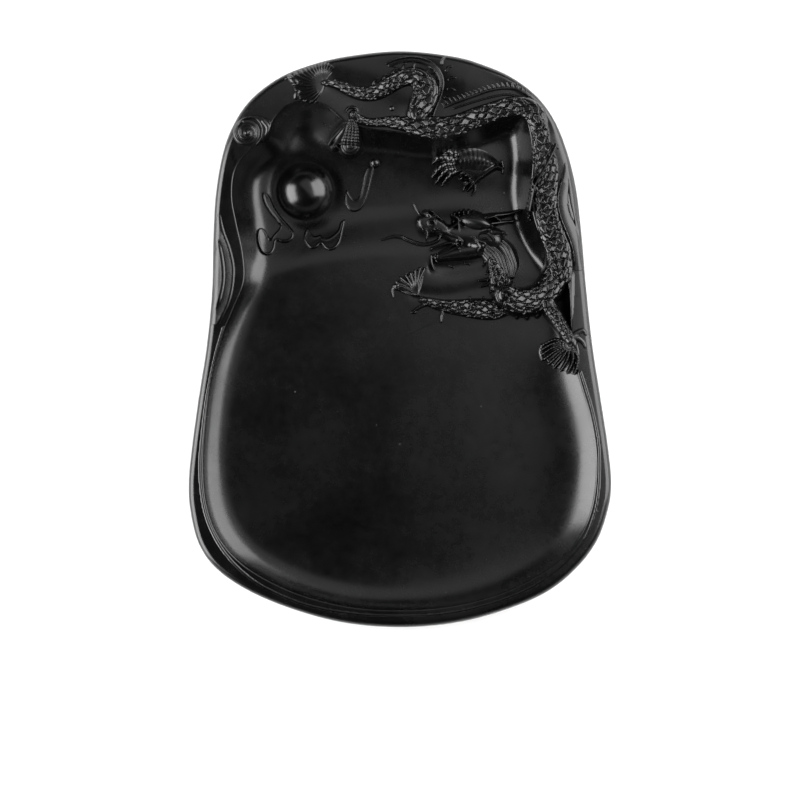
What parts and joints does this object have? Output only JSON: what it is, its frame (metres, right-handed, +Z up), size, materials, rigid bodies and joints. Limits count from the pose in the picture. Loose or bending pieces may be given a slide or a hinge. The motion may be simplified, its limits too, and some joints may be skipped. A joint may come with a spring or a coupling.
{
  "type": "carved inkstone",
  "caption": "Flat dark stone block with a hollow-ground grinding basin, a deeper ink pool, and a dragon, clouds and a pearl carved in relief round its head.",
  "frame": {"origin": "centre of the flat underside, on the surface that the stone stands on", "axes": "+X across the width, +Y along the length towards the carved head, +Z up"},
  "size_m": [0.11, 0.15, 0.022],
  "materials": {
    "black_stone": "satin, rubbed smooth by hand"
  },
  "bodies": {
    "root": {"stone_body": "black_stone", "basin_bead": "black_stone", "left_cloud_bands": "black_stone", "right_cloud_bands": "black_stone", "scroll_cloud": "black_stone", "cloud_lobe": "black_stone", "cloud_curl": "black_stone", "pearl": "black_stone", "wisp_left": "black_stone", "wisp_lower": "black_stone", "wisp_right": "black_stone", "tail_fin": "black_stone", "tail": "black_stone", "loop_fin": "black_stone", "body_loop": "black_stone", "body_upper": "black_stone", "dorsal_fin": "black_stone", "body_right": "black_stone", "body_lower": "black_stone", "neck": "black_stone", "head": "black_stone", "lower_jaw": "black_stone", "horns": "black_stone", "mane": "black_stone", "whisker": "black_stone", "hind_leg": "black_stone", "hind_claw": "black_stone", "raised_arm": "black_stone", "raised_claw": "black_stone", "fore_leg": "black_stone", "fore_claw": "black_stone", "rear_leg": "black_stone", "rear_claw": "black_stone"}
  },
  "joints": []
}
